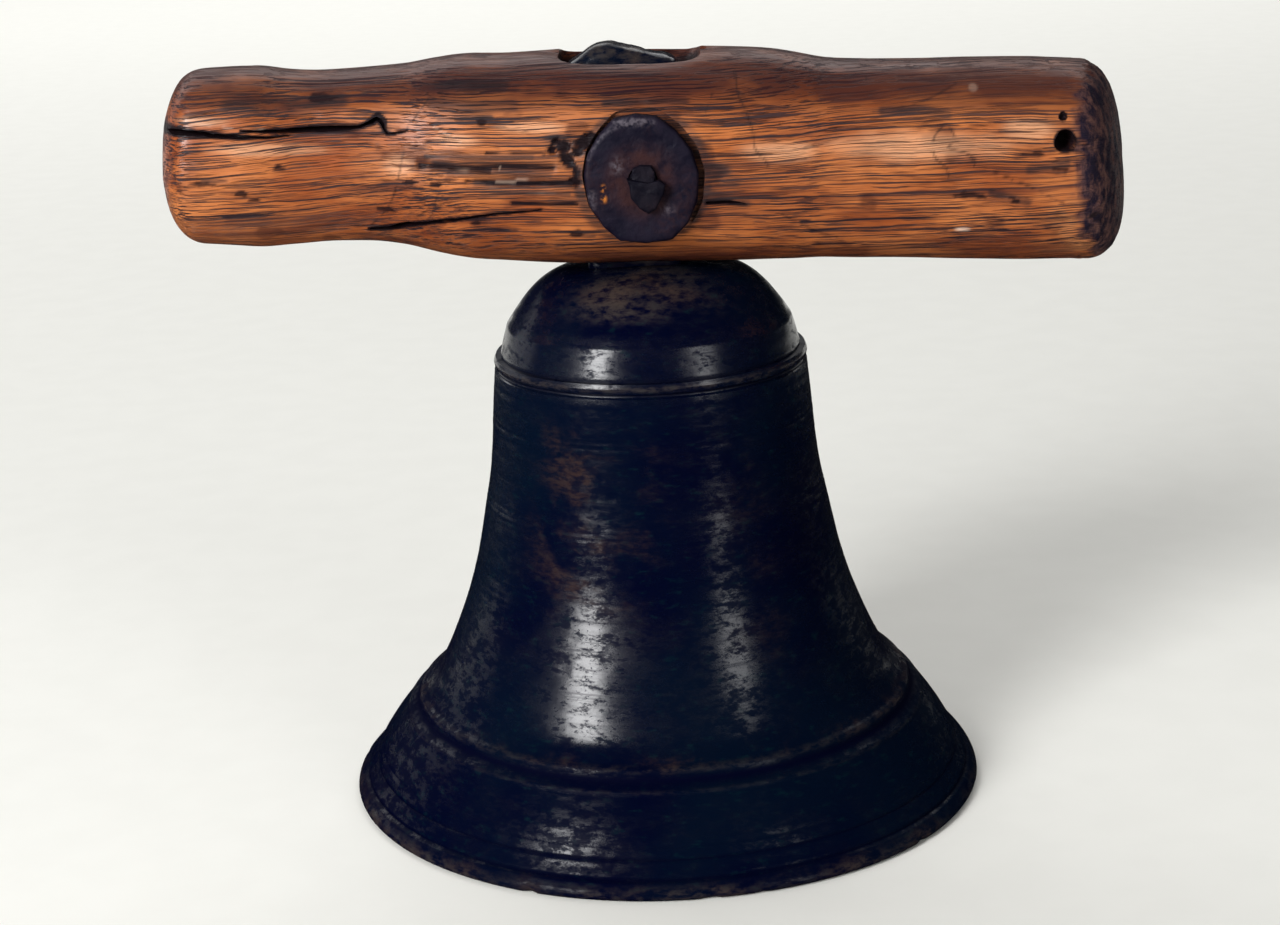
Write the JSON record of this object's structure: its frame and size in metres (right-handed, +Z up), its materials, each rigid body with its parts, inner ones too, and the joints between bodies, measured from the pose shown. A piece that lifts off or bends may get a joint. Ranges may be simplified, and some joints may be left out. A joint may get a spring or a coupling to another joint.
{
  "type": "sanctus bell",
  "caption": "Small cast bronze hand bell hung by a pinned loop from a whittled oak cross handle, with an iron clapper hinged inside.",
  "frame": {"origin": "centre of the bell's mouth, on the plane that it stands on", "axes": "+Z up the bell's axis, +X along the handle, -Y the front"},
  "size_m": [0.2173, 0.15, 0.1742],
  "materials": {
    "bronze": "cast and turned bronze under a nearly black patina, worn to a dull shine on the high places",
    "oak": "old hand-polished oak with long dark pores, cracks and iron stains",
    "iron": "hand-forged iron, dark brown, with dull rust"
  },
  "bodies": {
    "bell": {"bell": "bronze", "crown_staple": "iron"},
    "handle": {"handle": "oak", "cross_pin": "iron", "rove_front": "iron", "rove_rear": "iron"},
    "clapper": {"clapper": "iron"}
  },
  "joints": [
    {"name": "handle_rock", "type": "hinge", "parent": "bell", "child": "handle", "pos_m": [0, 0, 0.1467], "axis": [0, 1, 0], "range_deg": [-5.2, 0]},
    {"name": "clapper_swing", "type": "hinge", "parent": "bell", "child": "clapper", "pos_m": [0, 0, 0.104], "axis": [1, 0, 0], "range_deg": [-25.5, 25.5]}
  ]
}
